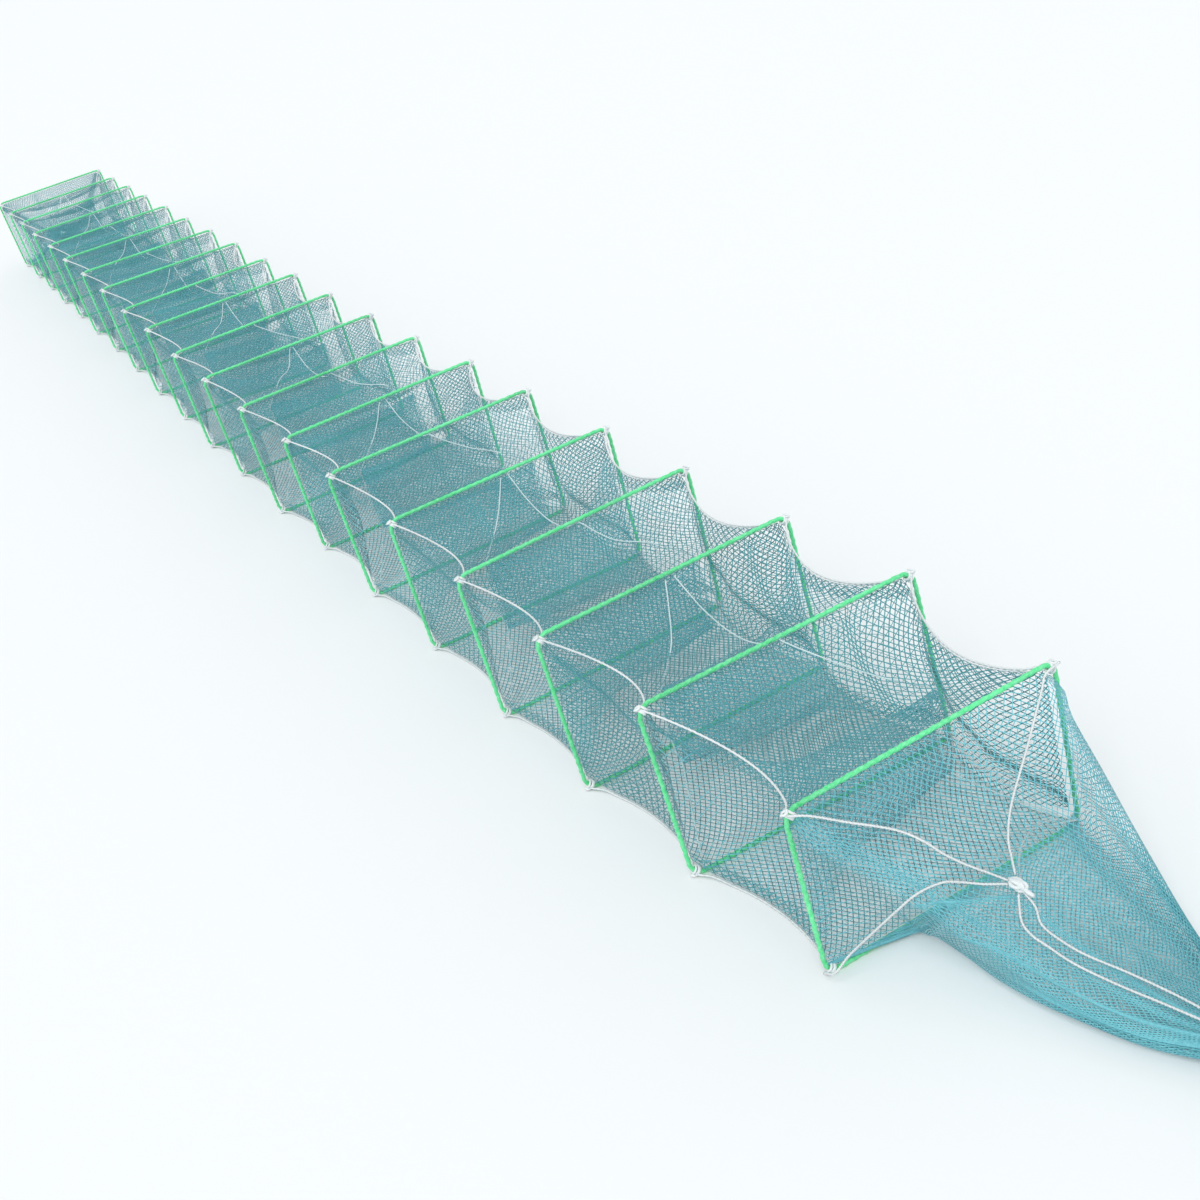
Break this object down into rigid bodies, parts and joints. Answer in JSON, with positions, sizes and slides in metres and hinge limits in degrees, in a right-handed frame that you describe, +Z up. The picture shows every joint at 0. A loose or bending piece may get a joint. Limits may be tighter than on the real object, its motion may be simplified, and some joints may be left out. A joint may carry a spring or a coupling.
{
  "type": "folding shrimp trap net",
  "caption": "Long folding net trap: wire frames with a net sleeve, side inlets, corner ropes and gathered tails, drawn out along the floor",
  "frame": {"origin": "the middle of the trap's footprint, on the floor", "axes": "+Y along the chain of frames to the far end, +X across to the right, +Z up"},
  "size_m": [0.4729, 5.2136, 0.228],
  "materials": {
    "wrapped_wire": "green tape wound round steel wire",
    "net": "knotted twine netting",
    "rope": "twisted white cord"
  },
  "bodies": {
    "root": {"bridle_bottom_left": "rope", "bridle_bottom_right": "rope", "bridle_knot": "rope", "bridle_top_left": "rope", "bridle_top_right": "rope", "frame_01": "wrapped_wire", "frame_02": "wrapped_wire", "frame_03": "wrapped_wire", "frame_04": "wrapped_wire", "frame_05": "wrapped_wire", "frame_06": "wrapped_wire", "frame_07": "wrapped_wire", "frame_08": "wrapped_wire", "frame_09": "wrapped_wire", "frame_10": "wrapped_wire", "frame_11": "wrapped_wire", "frame_12": "wrapped_wire", "frame_13": "wrapped_wire", "frame_14": "wrapped_wire", "frame_15": "wrapped_wire", "frame_16": "wrapped_wire", "frame_17": "wrapped_wire", "frame_18": "wrapped_wire", "frame_19": "wrapped_wire", "frame_20": "wrapped_wire", "haul_cord": "rope", "haul_cord_spare": "rope", "inlet_01": "net", "inlet_02": "net", "inlet_03": "net", "inlet_04": "net", "inlet_05": "net", "inlet_06": "net", "inlet_07": "net", "inlet_08": "net", "inlet_09": "net", "inlet_10": "net", "inlet_11": "net", "inlet_12": "net", "inlet_13": "net", "inlet_14": "net", "inlet_15": "net", "inlet_16": "net", "inlet_17": "net", "inlet_18": "net", "inlet_19": "net", "net_bottom": "net", "net_left_far": "net", "net_left_near": "net", "net_right_far": "net", "net_right_near": "net", "net_top": "net", "rope_bottom_left": "rope", "rope_bottom_right": "rope", "rope_top_left": "rope", "rope_top_right": "rope", "tail_far": "net", "tail_near": "net", "tie_far": "rope", "tie_near": "rope"}
  },
  "joints": []
}
